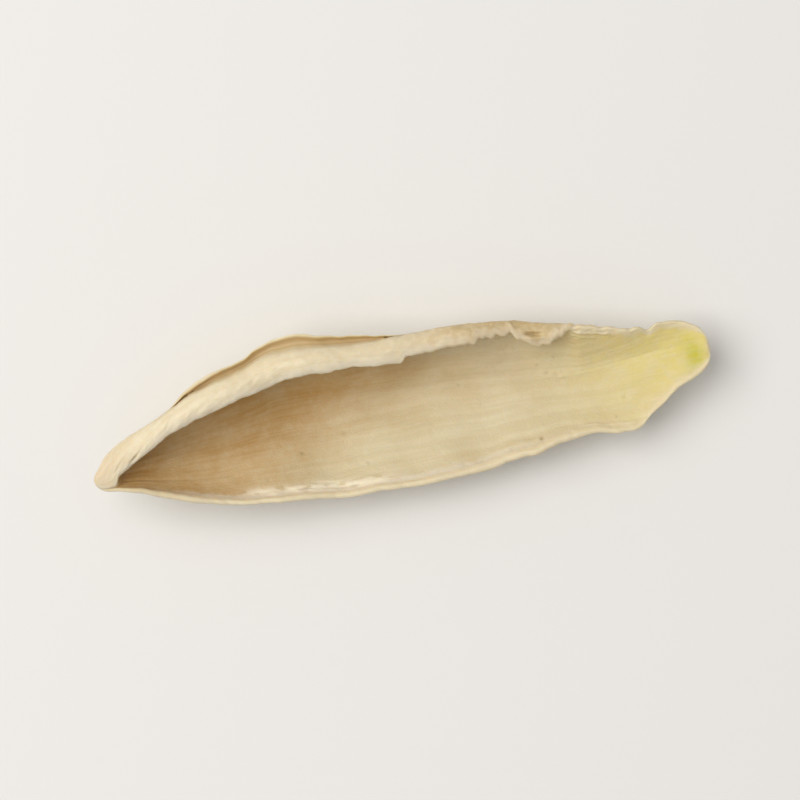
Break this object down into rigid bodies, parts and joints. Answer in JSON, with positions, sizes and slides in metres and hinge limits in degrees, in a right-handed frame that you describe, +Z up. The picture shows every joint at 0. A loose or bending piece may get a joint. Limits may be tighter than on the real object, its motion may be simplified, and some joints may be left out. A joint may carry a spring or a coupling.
{
  "type": "dried lily bulb scale",
  "caption": "Boat-shaped dried scale of a lily bulb, lying hollow face up, with a solid nose, a far margin rolled inwards over the hollow and a thin blunt end.",
  "frame": {"origin": "on the surface that the scale lies on, under the middle of its box, at the level of its flat rest spot", "axes": "+X along the scale from its nose to its blunt end, +Y across it to the rolled far margin, +Z up out of the hollow"},
  "size_m": [0.0458, 0.0126, 0.0072],
  "materials": {
    "dried_bulb_flesh": "dry, waxy and satin-matt, cream with fine lengthwise veins, whitish at the margins and yellow-green at the blunt end"
  },
  "bodies": {
    "root": {"lily_bulb_scale": "dried_bulb_flesh"}
  },
  "joints": []
}
